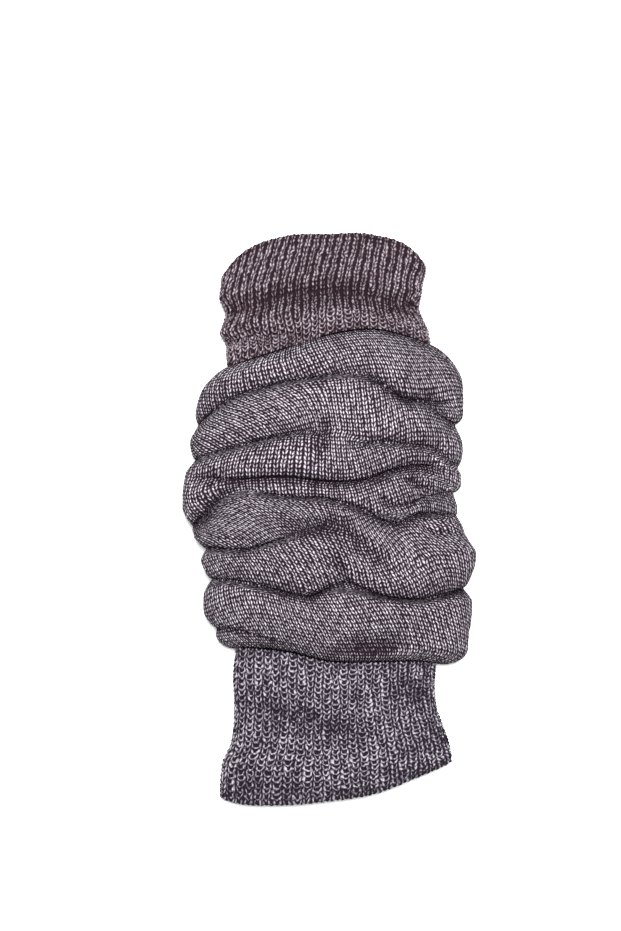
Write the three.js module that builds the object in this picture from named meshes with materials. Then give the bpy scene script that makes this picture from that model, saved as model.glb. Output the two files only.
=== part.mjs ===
/*
 * Knitted leg warmer, lying flat and pushed together into folds.
 *
 * It is one knitted tube in three stretches: a ribbed upper cuff, a plain jersey leg and a ribbed
 * lower cuff. Each stretch is a closed wall with an open hollow through it. The tube is built from
 * rings that follow its rows of stitches: seen from the end, a ring is a flattened round section,
 * flat where it lies on the surface, and creases push its skin inwards. Millimetres, +Z up, +Y
 * towards the upper cuff, +X to the right seen from above. The origin is on the surface, under the
 * middle of the whole garment.
 */
import * as THREE from 'three';

// Driving dimensions.
const RIB_WALL = 2.6; // thickness of the ribbed cloth
const JERSEY_WALL = 2.0; // thickness of the plain cloth
const SEAM_GAP = 0.3; // left between two stretches where the real knitting runs on
const AROUND = 44; // points in a ring
const LEAST_WIDTH = 7; // narrowest half of a crease that rings this far apart can follow
const SQUARENESS = 2.5; // 2 is an ellipse, more is a flatter top with rounder sides
const WAIST = 0.45; // height of a section's widest point, as a share of its full height
const SINK = 1.3; // how far the lower half would bulge below the surface, which keeps it flat
const RIM_TUCK = 3; // how far the underside's lower rim lies in from the upper side's
const CREASE_BLEND = 4; // how sharply the deeper of two crossing creases wins
const CREASE_FADE = 1 / 12; // share of the leg next to a seam over which its creases fade in

// Rows of stitches that follow the folds, from one rim to the other: the height y of each row at
// these places across the tube.
const LINE_X = [-66, -45, -22, 0, 22, 45, 66];
const COURSE_LINES = {
	lowerRim: [-132, -140, -141, -139, -135.5, -127, -118],
	lowerSeam: [-69, -66.5, -68, -73, -73.5, -73, -76],
	aboveWave: [-33.5, -35, -40, -38.5, -41, -43.5, -37.5],
	aboveCurve: [-18, -20, -15.5, -9, -21, -26, -22],
	aboveSweep: [-6.5, 6.5, 5.5, 4, -3, -2.5, -4.5],
	aboveMiddle: [9, 13.5, 15, 13, 15, 18, 6.5],
	aboveShoulder: [25, 30, 36, 37, 31.5, 30, 18.5],
	aboveArc: [43, 55.5, 62, 65.5, 63.5, 53, 41.5],
	upperSeam: [69, 73.5, 80, 87, 90, 85.5, 79],
	ribValley: [99, 105, 111.5, 114, 110.5, 105, 102],
	upperRim: [104, 131.5, 141, 142, 142, 133, 100],
};

// Outline and height of the skin between creases: how far it reaches left and right of the middle
// line at each y, and how high it stands.
const LOWER_CUFF_FORM = [
	{ y: -142, left: 52.5, right: 59.5, height: 12 },
	{ y: -123, left: 51.5, right: 59.2, height: 12.5 },
	{ y: -111, left: 47, right: 57.5, height: 12.5 },
	{ y: -96, left: 46, right: 53, height: 12.5 },
	{ y: -82, left: 46.5, right: 52, height: 13 },
	{ y: -68, left: 45.5, right: 53, height: 13 },
];
const LEG_FORM = [
	{ y: -75, left: 51, right: 64, height: 20 },
	{ y: -70, left: 52, right: 66.5, height: 22 },
	{ y: -62, left: 54.5, right: 68, height: 25 },
	{ y: -50, left: 60, right: 69.5, height: 29 },
	{ y: -36, left: 60.5, right: 70, height: 32 },
	{ y: -24, left: 62.5, right: 71.5, height: 34 },
	{ y: -15, left: 64.5, right: 67.5, height: 34 },
	{ y: -7, left: 67, right: 66, height: 34 },
	{ y: 8, left: 71, right: 63, height: 34 },
	{ y: 24, left: 69.5, right: 65.5, height: 34 },
	{ y: 38, left: 68, right: 66, height: 33 },
	{ y: 52, left: 68, right: 66.5, height: 32 },
	{ y: 64, left: 63, right: 67, height: 30 },
	{ y: 74, left: 55.5, right: 66.5, height: 27 },
	{ y: 86, left: 51.5, right: 64, height: 23 },
];
const UPPER_CUFF_FORM = [
	{ y: 68, left: 50.5, right: 50, height: 17 },
	{ y: 79, left: 51, right: 51.5, height: 18.5 },
	{ y: 90, left: 54.5, right: 51.2, height: 20 },
	{ y: 101, left: 53.8, right: 48.5, height: 20 },
	{ y: 112, left: 55, right: 48, height: 19.5 },
	{ y: 123, left: 54.2, right: 50, height: 16 },
	{ y: 132, left: 54, right: 50, height: 14 },
	{ y: 142, left: 53, right: 50, height: 12.5 },
];

// The ring that the leg starts from at each cuff, and the length over which it swells out there.
const LOWER_SEAM_RING = { left: 45.5, right: 53, height: 13 };
const LOWER_SWELL = 8;
const UPPER_SEAM_RING = { left: 50.5, right: 51.5, height: 17.5 };
const UPPER_SWELL = 9;

// Creases of the upper side. Each route is a line of the deepest points, with the depth of each,
// and the crease opens over "above" millimetres on its upper side and "below" on its lower one.
const FRONT_CREASES = [
	{
		name: 'rib_valley', above: 8, below: 12,
		route: [
			[-62, 100, 6], [-42, 104, 7], [-29, 108, 7.5], [-2, 111.5, 8], [19, 109, 7.5],
			[35, 105, 7], [60, 103, 6],
		],
	},
	{
		name: 'rib_fold_left', above: 5, below: 5,
		route: [[-62, 86, 4], [-43, 87.5, 4], [-31, 90, 3.5], [-12, 88, 0]],
	},
	{
		name: 'long_arc', above: 11, below: 6,
		route: [
			[-80, 40, 6], [-66.5, 42.5, 6], [-58, 48.5, 6], [-44, 56, 6], [-25, 61.5, 6],
			[-4, 64.5, 5.5], [13, 67, 4.5], [26, 62, 6.5], [36.5, 55, 9], [48, 53.5, 9],
			[58, 52, 5], [66, 51, 0],
		],
	},
	{
		name: 'arc_branch', above: 5, below: 7,
		route: [[82, 40, 5], [64, 42, 5], [56, 45.5, 4], [50, 48, 2], [44, 50, 0]],
	},
	{
		name: 'left_shoulder', above: 9, below: 5,
		route: [
			[-82, 24.5, 5], [-66, 25, 5.5], [-49, 29, 6], [-35, 32, 6.5], [-22, 35.7, 7],
			[-13, 36.8, 6.5], [-7, 35.8, 5.5], [-2, 33, 3], [2, 30, 0],
		],
	},
	{
		name: 'middle_groove', above: 5, below: 4,
		route: [[-7, 50, 0], [-3, 43, 3.5], [-1.5, 37, 5.5], [-2.5, 31, 6], [-5, 25, 5], [-7, 18, 0]],
	},
	{
		name: 'middle_line', above: 6, below: 7,
		route: [
			[-68, 14.5, 0], [-61, 14.8, 4], [-46, 14.3, 7.5], [-21, 15.2, 7.5], [-4.4, 13.3, 8],
			[15.4, 13.5, 8], [31, 19.5, 8.5], [42, 22, 8], [50, 21.5, 6.5], [55, 17.5, 3], [56, 13, 0],
		],
	},
	{
		name: 'eye_top', above: 8, below: 4,
		route: [
			[6, 26.5, 0], [14, 28.5, 4.5], [25, 32, 6.5], [40, 31, 7], [52, 28.8, 6], [57, 25.5, 5.5],
			[62, 21.5, 5], [82, 20, 4],
		],
	},
	{
		name: 'eye_slit', above: 3.5, below: 3.5,
		route: [[36, 16, 0], [40, 13, 4.5], [45, 11.3, 5], [50, 11.8, 4], [54, 14, 0]],
	},
	{
		name: 'right_branch', above: 4, below: 4,
		route: [[82, 7, 3], [61, 7, 4], [48, 5.6, 4.5], [35, 0.8, 4.5], [29, 1.5, 3], [23, 4, 0]],
	},
	{
		name: 'right_sweep', above: 6, below: 7,
		route: [
			[-38, 7, 0], [-31, 6.5, 4], [-16.4, 5, 6], [0, 4, 6], [15, -0.3, 6], [31, -7.2, 7.5],
			[43, -3, 6], [53, -2.5, 4.5], [60, -3, 2], [68, -3, 0],
		],
	},
	{
		name: 'right_tuck', above: 6, below: 3,
		route: [[44, -8, 0], [47.5, -10.5, 3.5], [52, -13, 4.5], [57, -12.5, 3.5], [64, -12, 1.5]],
	},
	{
		name: 'left_slant', above: 8, below: 8,
		route: [[-37, 12.5, 0], [-48, 8, 4], [-55, 3, 6], [-60.5, -2, 7], [-67, -7, 7], [-82, -8, 6]],
	},
	{
		name: 'broad_hollow', above: 8, below: 10,
		route: [[-36, -4, 0], [-26, -8, 3], [-14, -11, 5], [-4, -10.5, 6.5], [5, -9, 5], [12, -12, 0]],
	},
	{
		name: 'left_curve', above: 9, below: 5,
		route: [
			[-80, -18, 5], [-64, -18, 5.5], [-44, -20.2, 6.5], [-30, -17.8, 6], [-16.4, -13.5, 4],
			[-2, -8, 0],
		],
	},
	{
		name: 'slant_groove', above: 4, below: 8,
		route: [
			[1, -7, 0], [7, -10, 5], [15, -17, 5.5], [24.4, -24.3, 4.5], [33, -31, 3], [40, -36, 0],
		],
	},
	{
		name: 'lower_wave', above: 10, below: 5,
		route: [
			[-80, -32.5, 5], [-61, -33.2, 5.5], [-43, -35.1, 6.5], [-30, -38, 7.5],
			[-16.4, -41.3, 9], [-9, -42, 9], [0, -38.4, 8], [9.4, -35.8, 7], [20, -40, 7.5],
			[32, -43, 8.5], [46.4, -43, 8.5], [61.3, -39, 8], [69, -37.5, 7], [86, -36, 6],
		],
	},
	{
		name: 'wave_branch', above: 5, below: 5,
		route: [[-4, -21, 0], [1, -25, 3.5], [6, -30, 5], [11, -36, 6]],
	},
	{
		name: 'hem_fold_left', above: 7, below: 5,
		route: [[-76, -56, 5], [-55.6, -57, 5.5], [-46.5, -57.5, 5.5], [-28, -63, 4.5], [-8, -69, 0]],
	},
	{
		name: 'hem_hollow', above: 8, below: 5,
		route: [[-6, -69, 0], [6, -69, 5], [16, -68, 9], [26, -68, 8], [35, -66, 4], [42, -64, 0]],
	},
	{
		name: 'cuff_hollow', above: 10, below: 11,
		route: [[-60, -90, 1], [-32, -95, 1.7], [-9, -101, 2], [12, -106, 1.8], [26, -104, 0]],
	},
	{
		name: 'cuff_side_hollow', above: 9, below: 9,
		route: [[24, -88, 0], [36, -84, 1.8], [48, -86, 1.8], [62, -92, 1]],
	},
	{
		name: 'rim_hollow_left', above: 9, below: 9,
		route: [[-60, -124, 0], [-44, -130, 1.6], [-28, -131, 1.6], [-6, -131, 0]],
	},
	{
		name: 'rim_hollow_right', above: 10, below: 10,
		route: [[28, -112, 0], [46, -110, 1.5], [64, -106, 2]],
	},
];

// Creases of the underside: the surface presses it flat, so they are shallower. Each runs across
// from a notch on the left edge to one on the right, by way of the middle.
const BACK_CREASES = [
	{ name: 'back_rib_valley', left: 101, middle: 107, right: 104, depth: 1.5, width: 8 },
	{ name: 'back_rib_fold', left: 86, middle: 90, right: 92, depth: 1.5, width: 6 },
	{ name: 'back_upper', left: 42, middle: 57, right: 41, depth: 4, width: 9 },
	{ name: 'back_shoulder', left: 25, middle: 31, right: 18, depth: 3.5, width: 8 },
	{ name: 'back_middle', left: -7, middle: 9, right: 6, depth: 3.5, width: 8 },
	{ name: 'back_curve', left: -18, middle: -9, right: -4, depth: 3.5, width: 8 },
	{ name: 'back_wave', left: -33, middle: -41, right: -37, depth: 4, width: 9 },
	{ name: 'back_hem', left: -57, middle: -55, right: -61, depth: 3, width: 7 },
];
const BACK_REACH = 80; // how far out to each side an underside crease is drawn
const BACK_TURN = 45; // where its ends turn level

// Smooth curve through the points (xs, ys), read at one x. Past its ends it stays level.
function readCurve(xs, ys, at) {
	const last = xs.length - 1;
	if (at <= xs[0]) return ys[0];
	if (at >= xs[last]) return ys[last];
	const i = xs.findIndex((x) => x > at) - 1;
	const slope = (j) => {
		const before = Math.max(j - 1, 0);
		const after = Math.min(j + 1, last);
		return (ys[after] - ys[before]) / (xs[after] - xs[before]);
	};
	const step = xs[i + 1] - xs[i];
	const t = (at - xs[i]) / step;
	return ys[i] * (2 * t ** 3 - 3 * t ** 2 + 1) + ys[i + 1] * (3 * t ** 2 - 2 * t ** 3)
		+ step * (slope(i) * (t ** 3 - 2 * t ** 2 + t) + slope(i + 1) * (t ** 3 - t ** 2));
}

// One column of a form table as a function of y.
function readForm(rows, column, y) {
	return readCurve(rows.map((row) => row.y), rows.map((row) => row[column]), y);
}

// A crease's route as a fine line of points: x, y and depth.
function drawRoute(route) {
	const corners = route.map(([x, y, depth]) => new THREE.Vector3(x, y, depth));
	return new THREE.CatmullRomCurve3(corners, false, 'catmullrom', 0.5).getPoints(8 * route.length);
}

function drawFrontCrease({ route, above, below }) {
	return { line: drawRoute(route), above, below };
}

function drawBackCrease({ left, middle, right, depth, width }) {
	const route = [[-BACK_REACH, left, depth], [-BACK_TURN, left, depth], [0, middle, depth],
		[BACK_TURN, right, depth], [BACK_REACH, right, depth]];
	return { line: drawRoute(route), above: width, below: width };
}

const frontLines = FRONT_CREASES.map(drawFrontCrease);
const backLines = BACK_CREASES.map(drawBackCrease);

// How far one crease pushes the skin in at (x, y): its depth at the nearest point of its line,
// fading smoothly to nothing at its width.
function creaseDepth({ line, above, below }, x, y) {
	let nearest = Infinity;
	let depth = 0;
	let side = 0;
	for (let i = 0; i + 1 < line.length; i++) {
		const a = line[i];
		const dx = line[i + 1].x - a.x;
		const dy = line[i + 1].y - a.y;
		const t = THREE.MathUtils.clamp(((x - a.x) * dx + (y - a.y) * dy) / (dx * dx + dy * dy), 0, 1);
		const distance = Math.hypot(x - a.x - t * dx, y - a.y - t * dy);
		if (distance < nearest) {
			nearest = distance;
			depth = THREE.MathUtils.lerp(a.z, line[i + 1].z, t);
			side = (dx * (y - a.y) - dy * (x - a.x)) * Math.sign(dx || 1);
		}
	}
	const width = Math.max(side > 0 ? above : below, LEAST_WIDTH);
	return Math.max(depth, 0) * (1 - THREE.MathUtils.smoothstep(nearest, 0, width));
}

// All the creases of one side together: the deeper one wins, with a smooth change between two.
function totalDepth(lines, x, y) {
	const sum = lines.reduce((total, line) => total + creaseDepth(line, x, y) ** CREASE_BLEND, 0);
	return sum ** (1 / CREASE_BLEND);
}

// A point of a flattened section, without creases. The upper half is a squarish half ellipse. The
// lower half would bulge just below the surface, and is cut flat there.
function sectionPoint(angle, { left, right, height }) {
	const squash = (value) => Math.sign(value) * Math.abs(value) ** (2 / SQUARENESS);
	const c = Math.cos(angle);
	const s = Math.sin(angle);
	const waist = WAIST * height;
	const reach = s > 0 ? height - waist : waist * SINK;
	const x = squash(c) * (c > 0 ? right : left);
	return new THREE.Vector2(x, Math.max(waist + squash(s) * reach, 0));
}

// Angles that space the points of a ring evenly along its skin.
function evenAngles(count, form) {
	const fine = 720;
	const length = [0];
	for (let i = 1; i <= fine; i++) {
		const before = sectionPoint((2 * Math.PI * (i - 1)) / fine, form);
		length.push(length[i - 1] + before.distanceTo(sectionPoint((2 * Math.PI * i) / fine, form)));
	}
	return Array.from({ length: count }, (_, k) => {
		const wanted = (length[fine] * k) / count;
		const i = length.findIndex((value) => value > wanted);
		const t = (wanted - length[i - 1]) / (length[i] - length[i - 1]);
		return (2 * Math.PI * (i - 1 + t)) / fine;
	});
}

// Height y of the row of stitches at that share of the way along a stretch.
function rowHeight(courses, share, x) {
	const i = Math.max(courses.findIndex((course) => course.share >= share), 1);
	const [from, to] = [courses[i - 1], courses[i]];
	const t = (share - from.share) / (to.share - from.share);
	return THREE.MathUtils.lerp(
		readCurve(LINE_X, COURSE_LINES[from.line], x), readCurve(LINE_X, COURSE_LINES[to.line], x), t);
}

// The section at one ring: the outline and height there, drawn in towards a seam that it meets.
function ringForm(stretch, share) {
	const yAt = (x) => rowHeight(stretch.courses, share, x);
	const form = {
		left: readForm(stretch.form, 'left', yAt(-50)),
		right: readForm(stretch.form, 'right', yAt(50)),
		height: readForm(stretch.form, 'height', yAt(0)),
	};
	for (const { ring, end, over } of stretch.swellsFrom) {
		const away = Math.abs(yAt(0) - rowHeight(stretch.courses, end, 0));
		const swell = Math.sqrt(1 - (1 - Math.min(away / over, 1)) ** 2);
		for (const key of Object.keys(form)) form[key] = THREE.MathUtils.lerp(ring[key], form[key], swell);
	}
	return form;
}

// A point of the outer skin, with the direction that is outwards in its section and that keeps to
// its row of stitches. A crease pushes the point in against that direction.
function skinPoint(stretch, share, angle, form, gap) {
	const flat = sectionPoint(angle, form);
	const before = sectionPoint(angle - 0.02, form);
	const after = sectionPoint(angle + 0.02, form);
	const out = new THREE.Vector2(after.y - before.y, before.x - after.x).normalize();
	const front = THREE.MathUtils.smoothstep(out.y, -0.5, 0.5);
	const yAt = (x) => rowHeight(stretch.courses, share, x) + gap
		+ stretch.tuck * (1 - front) * (1 - share) ** 2;
	const depth = stretch.creaseShare(share) * THREE.MathUtils.lerp(
		totalDepth(backLines, flat.x, yAt(flat.x)), totalDepth(frontLines, flat.x, yAt(flat.x)), front);
	const x = flat.x - out.x * depth;
	const slope = (yAt(x + 1) - yAt(x - 1)) / 2;
	return {
		point: new THREE.Vector3(x, yAt(x), flat.y - out.y * depth),
		out: new THREE.Vector3(out.x, out.x * slope, out.y),
	};
}

// The outer skin as rings of such points.
function outerRings(stretch) {
	const typical = {};
	for (const key of ['left', 'right', 'height']) {
		typical[key] = readForm(stretch.form, key, stretch.typicalY);
	}
	const angles = evenAngles(AROUND, typical);
	return Array.from({ length: stretch.rows + 1 }, (_, j) => {
		const share = j / stretch.rows;
		const form = ringForm(stretch, share);
		const gap = j === 0 ? stretch.gapFrom : j === stretch.rows ? -stretch.gapTo : 0;
		return angles.map((angle) => skinPoint(stretch, share, angle, form, gap));
	});
}

// Outward direction of the skin at each point, from its neighbours. On the two end rings it keeps
// to the row of stitches, so that the cut ends of neighbouring stretches face each other.
function skinNormals(rings) {
	return rings.map((ring, j) => ring.map(({ out }, k) => {
		if (j === 0 || j === rings.length - 1) return out;
		const around = rings[j][(k + 1) % AROUND].point.clone()
			.sub(rings[j][(k + AROUND - 1) % AROUND].point);
		const along = rings[j + 1][k].point.clone().sub(rings[j - 1][k].point);
		return around.cross(along).normalize().negate();
	}));
}

// A closed wall: the outer skin, the inner skin one thickness in, and the two cut ends. Each
// four-sided patch is split along its shorter diagonal.
function buildWall(stretch) {
	const rings = outerRings(stretch);
	const normals = skinNormals(rings);
	const outer = rings.map((ring) => ring.map(({ point }) => point));
	const inner = outer.map((ring, j) => ring.map(
		(point, k) => point.clone().addScaledVector(normals[j][k], -stretch.wall)));
	const loop = [...outer, ...inner.reverse()];
	const points = loop.flat();
	const positions = points.flatMap((point) => point.toArray());
	const index = [];
	loop.forEach((_, j) => {
		const next = (j + 1) % loop.length;
		for (let k = 0; k < AROUND; k++) {
			const side = (k + 1) % AROUND;
			const [a, b, c, d] = [j * AROUND + k, j * AROUND + side, next * AROUND + side, next * AROUND + k];
			const acrossFirst = points[a].distanceTo(points[c]) < points[b].distanceTo(points[d]);
			index.push(...(acrossFirst ? [a, c, b, a, d, c] : [a, d, b, b, d, c]));
		}
	});
	const geometry = new THREE.BufferGeometry();
	geometry.setAttribute('position', new THREE.Float32BufferAttribute(positions, 3));
	geometry.setIndex(index);
	geometry.computeVertexNormals();
	return geometry;
}

const always = () => 1;
const awayFromSeams = (share) => Math.min(1, share / CREASE_FADE, (1 - share) / CREASE_FADE);

const lowerCuff = {
	name: 'lower_cuff',
	courses: [{ share: 0, line: 'lowerRim' }, { share: 1, line: 'lowerSeam' }],
	form: LOWER_CUFF_FORM, typicalY: -95, rows: 6, wall: RIB_WALL, gapFrom: 0, gapTo: SEAM_GAP / 2,
	tuck: RIM_TUCK, swellsFrom: [], creaseShare: always,
};
const legBody = {
	name: 'leg_body',
	courses: [
		{ share: 0, line: 'lowerSeam' }, { share: 0.226, line: 'aboveWave' },
		{ share: 0.355, line: 'aboveCurve' }, { share: 0.475, line: 'aboveSweep' },
		{ share: 0.561, line: 'aboveMiddle' }, { share: 0.678, line: 'aboveShoulder' },
		{ share: 0.834, line: 'aboveArc' }, { share: 1, line: 'upperSeam' },
	],
	form: LEG_FORM, typicalY: -20, rows: 38, wall: JERSEY_WALL, gapFrom: SEAM_GAP / 2, gapTo: SEAM_GAP / 2,
	tuck: 0, creaseShare: awayFromSeams,
	swellsFrom: [
		{ ring: LOWER_SEAM_RING, end: 0, over: LOWER_SWELL },
		{ ring: UPPER_SEAM_RING, end: 1, over: UPPER_SWELL },
	],
};
const upperCuff = {
	name: 'upper_cuff',
	courses: [
		{ share: 0, line: 'upperSeam' }, { share: 0.5, line: 'ribValley' }, { share: 1, line: 'upperRim' },
	],
	form: UPPER_CUFF_FORM, typicalY: 105, rows: 10, wall: RIB_WALL, gapFrom: SEAM_GAP / 2, gapTo: 0,
	tuck: 0, swellsFrom: [], creaseShare: always,
};

function buildStretch(stretch, look) {
	const mesh = new THREE.Mesh(buildWall(stretch), new THREE.MeshStandardMaterial(look));
	mesh.name = stretch.name;
	return mesh;
}

const legWarmer = new THREE.Group();
legWarmer.add(buildStretch(lowerCuff, { color: 0x6b6571, roughness: 0.9, metalness: 0 }));
legWarmer.add(buildStretch(legBody, { color: 0x7a7480, roughness: 0.88, metalness: 0 }));
legWarmer.add(buildStretch(upperCuff, { color: 0x6a5f6a, roughness: 0.9, metalness: 0 }));

export default legWarmer;
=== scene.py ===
# %% [markdown]
# # A knitted leg warmer, pushed together into folds
# The real thing is one tube, knitted in three stretches: a ribbed cuff, a plain leg and another
# ribbed cuff. It lies flat on a pale surface. Its leg is pushed together, so the cloth stands up in
# soft rolls with deep creases between them.
#
# The solid model gives the three stretches as smooth walls. This lesson makes the knitting itself
# on the same form: first the form as a formula, then the grid of columns and rows of stitches laid
# over it, then the relief of the ribs, and last the finish of the yarn. The frame comes first,
# because it holds every size that must not change.

# %% Load the frame
import math

import bpy
import mathutils
import numpy as np
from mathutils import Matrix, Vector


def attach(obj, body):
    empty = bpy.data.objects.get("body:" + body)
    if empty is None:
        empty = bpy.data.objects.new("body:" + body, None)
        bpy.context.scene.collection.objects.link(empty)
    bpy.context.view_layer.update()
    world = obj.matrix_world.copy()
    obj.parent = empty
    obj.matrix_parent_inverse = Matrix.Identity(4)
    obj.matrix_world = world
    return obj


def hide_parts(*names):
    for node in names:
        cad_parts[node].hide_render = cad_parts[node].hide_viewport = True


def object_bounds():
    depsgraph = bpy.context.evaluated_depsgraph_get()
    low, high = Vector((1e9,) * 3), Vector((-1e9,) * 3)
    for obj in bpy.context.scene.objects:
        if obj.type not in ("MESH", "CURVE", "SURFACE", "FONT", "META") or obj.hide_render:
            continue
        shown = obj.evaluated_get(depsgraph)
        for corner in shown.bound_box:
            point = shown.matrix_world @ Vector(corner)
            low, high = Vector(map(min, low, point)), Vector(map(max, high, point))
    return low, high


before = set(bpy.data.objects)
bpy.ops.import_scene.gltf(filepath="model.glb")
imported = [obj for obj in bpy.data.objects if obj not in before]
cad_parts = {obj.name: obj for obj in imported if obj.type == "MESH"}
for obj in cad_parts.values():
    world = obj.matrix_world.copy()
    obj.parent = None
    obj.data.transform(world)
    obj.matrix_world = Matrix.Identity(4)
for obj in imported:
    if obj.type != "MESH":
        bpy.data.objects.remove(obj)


def rounded(box):
    """The two corners of a box to a tenth of a millimetre, for printing."""
    return [[round(v, 4) for v in corner] for corner in box]


cad_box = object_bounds()
print("solids:", sorted(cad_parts), "box:", rounded(cad_box))

# %% [markdown]
# ## One unit for the tables
# A knitter would measure the piece in millimetres, so the tables below are in millimetres. Blender
# works in metres. The step from one to the other is measured on the frame, so that the cloth keeps
# to the solids even if they are made a little longer or shorter.

# %% Measure the unit
RIM_TO_RIM = 283.8  # length of the whole tube as it lies, in the tables' millimetres
MM = (cad_box[1][1] - cad_box[0][1]) / RIM_TO_RIM
print("one millimetre of the tables is", round(MM * 1000, 4), "mm of the frame")

# %% [markdown]
# ## Camera, floor and light
# The garment is seen from above, leaning ten degrees towards its lower cuff. A long lens keeps its
# sides nearly parallel. Wool shows its folds best in one soft light from above with a little fill,
# so there is one wide lamp a metre above the garment and a dim sky. Colours are shown as they are,
# with no film curve, so that a white floor comes out white.

# %% Set the camera
AIM = (-8.7 * MM, 22.5 * MM, 12.0 * MM)  # the point in the middle of the view
CAMERA_DISTANCE = 0.762
CAMERA_ELEVATION = math.radians(80)

camera_data = bpy.data.cameras.new("camera")
camera_data.lens = 60
camera_data.sensor_width = 36
camera = bpy.data.objects.new("camera", camera_data)
camera.location = (AIM[0], AIM[1] - math.cos(CAMERA_ELEVATION) * CAMERA_DISTANCE,
                   AIM[2] + math.sin(CAMERA_ELEVATION) * CAMERA_DISTANCE)
camera.rotation_euler = (math.pi / 2 - CAMERA_ELEVATION, 0, 0)
bpy.context.scene.collection.objects.link(camera)
bpy.context.scene.camera = camera
print("camera at", [round(v, 3) for v in camera.location])

# %% Lay the floor
FLOOR_HALF = 3.0
floor_mesh = bpy.data.meshes.new("floor")
floor_corners = [(x * FLOOR_HALF, y * FLOOR_HALF, 0.0) for x, y in ((-1, -1), (1, -1), (1, 1), (-1, 1))]
floor_mesh.from_pydata(floor_corners, [], [(0, 1, 2, 3)])
floor = bpy.data.objects.new("floor", floor_mesh)
bpy.context.scene.collection.objects.link(floor)
floor_finish = bpy.data.materials.new("floor")
floor_finish.use_nodes = True
floor_shader = floor_finish.node_tree.nodes["Principled BSDF"]
floor_shader.inputs["Base Color"].default_value = (0.93, 0.93, 0.93, 1)
floor_shader.inputs["Roughness"].default_value = 0.9
floor_mesh.materials.append(floor_finish)
print("floor", 2 * FLOOR_HALF, "m square")


# %% Hang the lamp and light the sky
def area_light(name, place, aim, size, watts):
    """A square lamp of that size at a place, turned to face a point."""
    data = bpy.data.lights.new(name, "AREA")
    data.size = size
    data.energy = watts
    lamp = bpy.data.objects.new(name, data)
    lamp.location = place
    toward = mathutils.Vector(aim) - mathutils.Vector(place)
    lamp.rotation_euler = toward.to_track_quat("-Z", "Y").to_euler()
    bpy.context.scene.collection.objects.link(lamp)
    return lamp


area_light("lamp_overhead", place=(0.05, 0.1, 1.0), aim=(0.0, 0.0, 0.0), size=0.45, watts=32)
sky = bpy.data.worlds.new("sky")
sky.use_nodes = True
sky.node_tree.nodes["Background"].inputs["Color"].default_value = (1, 1, 1, 1)
sky.node_tree.nodes["Background"].inputs["Strength"].default_value = 0.4
bpy.context.scene.world = sky
bpy.context.scene.view_settings.view_transform = "Standard"

# %% [markdown]
# ## The form, in short tables
# The form could be left to a cloth simulation, but that falls into folds of its own, and this
# garment has its particular ones. So it is written down here.
#
# Knitting is made of rows of stitches. Where the tube is pushed together, its rows follow the
# folds, so the form is given along rows: a few of them, as the height y of the row at seven places
# across the tube. Between two written rows the others are spread evenly at first.
#
# A table for each stretch gives how far the cloth reaches to the left and right at each y, and how
# high it stands. That is enough for a smooth, flattened tube; the creases come after it.

# %% Rows that follow the folds
LINE_X = np.array([-66.0, -45, -22, 0, 22, 45, 66])
ROW_LINES = {  # height y of a row of stitches at each x of LINE_X, from one rim to the other
    "lower_rim": [-132, -140, -141, -139, -135.5, -127, -118],
    "lower_seam": [-69, -66.5, -68, -73, -73.5, -73, -76],
    "wave": [-33.5, -35, -40, -38.5, -41, -43.5, -37.5],
    "curve": [-18, -20, -15.5, -9, -21, -26, -22],
    "sweep": [-6.5, 6.5, 5.5, 4, -3, -2.5, -4.5],
    "middle": [9, 13.5, 15, 13, 15, 18, 6.5],
    "shoulder": [25, 30, 36, 37, 31.5, 30, 18.5],
    "arc": [43, 55.5, 62, 65.5, 63.5, 53, 41.5],
    "upper_seam": [69, 73.5, 80, 87, 90, 85.5, 79],
    "rib_valley": [99, 105, 111.5, 114, 110.5, 105, 102],
    "upper_rim": [104, 131.5, 141, 142, 142, 133, 100],
}
ROW_LINES = {name: np.array(row, float) for name, row in ROW_LINES.items()}
CLEFT = 3.0  # each of the leg's folds has a second row this much lower, across its crease
for fold in ("wave", "curve", "sweep", "middle", "shoulder", "arc"):
    ROW_LINES["under_" + fold] = ROW_LINES[fold] - CLEFT
print(len(ROW_LINES), "rows of stitches written down")


# %% Reach and height
def table(columns, rows):
    """A short table as one array for each named column."""
    return dict(zip(columns.split(), np.array(rows, float).T))


LOWER_CUFF_FORM = table("y left right height", [
    (-142, 52.5, 59.5, 12), (-123, 51.5, 59.2, 12.5), (-111, 47, 57.5, 12.5), (-96, 46, 53, 12.5),
    (-82, 46.5, 52, 13), (-68, 45.5, 53, 13)])
LEG_FORM = table("y left right height", [
    (-75, 51, 64, 20), (-70, 52, 66.5, 22), (-62, 54.5, 68, 25), (-50, 60, 69.5, 29), (-36, 60.5, 70, 32),
    (-24, 62.5, 71.5, 34), (-15, 64.5, 67.5, 34), (-7, 67, 66, 34), (8, 71, 63, 34), (24, 69.5, 65.5, 34),
    (38, 68, 66, 33), (52, 68, 66.5, 32), (64, 63, 67, 30), (74, 55.5, 66.5, 27), (86, 51.5, 64, 23)])
UPPER_CUFF_FORM = table("y left right height", [
    (68, 50.5, 50, 17), (79, 51, 51.5, 18.5), (90, 54.5, 51.2, 20), (101, 53.8, 48.5, 20),
    (112, 55, 48, 19.5), (123, 54.2, 50, 16), (132, 54, 50, 14), (142, 53, 50, 12.5)])
LOWER_SEAM_RING = dict(left=45.5, right=53, height=13)  # where the leg starts from the lower cuff
UPPER_SEAM_RING = dict(left=50.5, right=51.5, height=17.5)  # and from the upper cuff
print("the leg stands up to", LEG_FORM["height"].max(), "mm high")

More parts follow.
